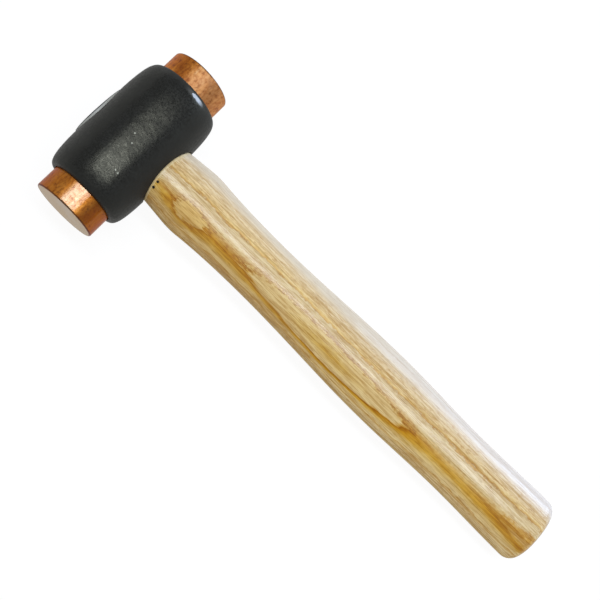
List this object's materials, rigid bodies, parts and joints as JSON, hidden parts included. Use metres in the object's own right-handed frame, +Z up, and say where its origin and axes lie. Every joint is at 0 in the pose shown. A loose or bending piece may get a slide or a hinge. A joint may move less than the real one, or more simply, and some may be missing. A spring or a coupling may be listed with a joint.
{
  "type": "copper hammer",
  "caption": "Solid-head copper hammer: black barrel-shaped iron casting with plain copper striking slugs pressed into its ends, wedged on a shouldered oval ash handle.",
  "frame": {"origin": "on the bench, under the middle of the bounding box of the hammer lying on its side", "axes": "+X runs along the handle from the head to the butt, +Y along the head from the front copper face to the rear one, +Z up off the bench"},
  "size_m": [0.2866, 0.0886, 0.0434],
  "materials": {
    "black_paint": "black semi-gloss paint over a sand-cast surface",
    "copper": "bare turned copper, lightly tarnished",
    "varnished_ash": "clear varnished ash with golden-brown grain",
    "wedge_wood": "plain sawn hardwood",
    "wedge_steel": "plain mild steel"
  },
  "bodies": {
    "root": {"head_casting": "black_paint", "copper_face_front": "copper", "copper_face_rear": "copper", "handle": "varnished_ash", "wood_wedge": "wedge_wood", "steel_wedge_left": "wedge_steel", "steel_wedge_right": "wedge_steel"}
  },
  "joints": []
}
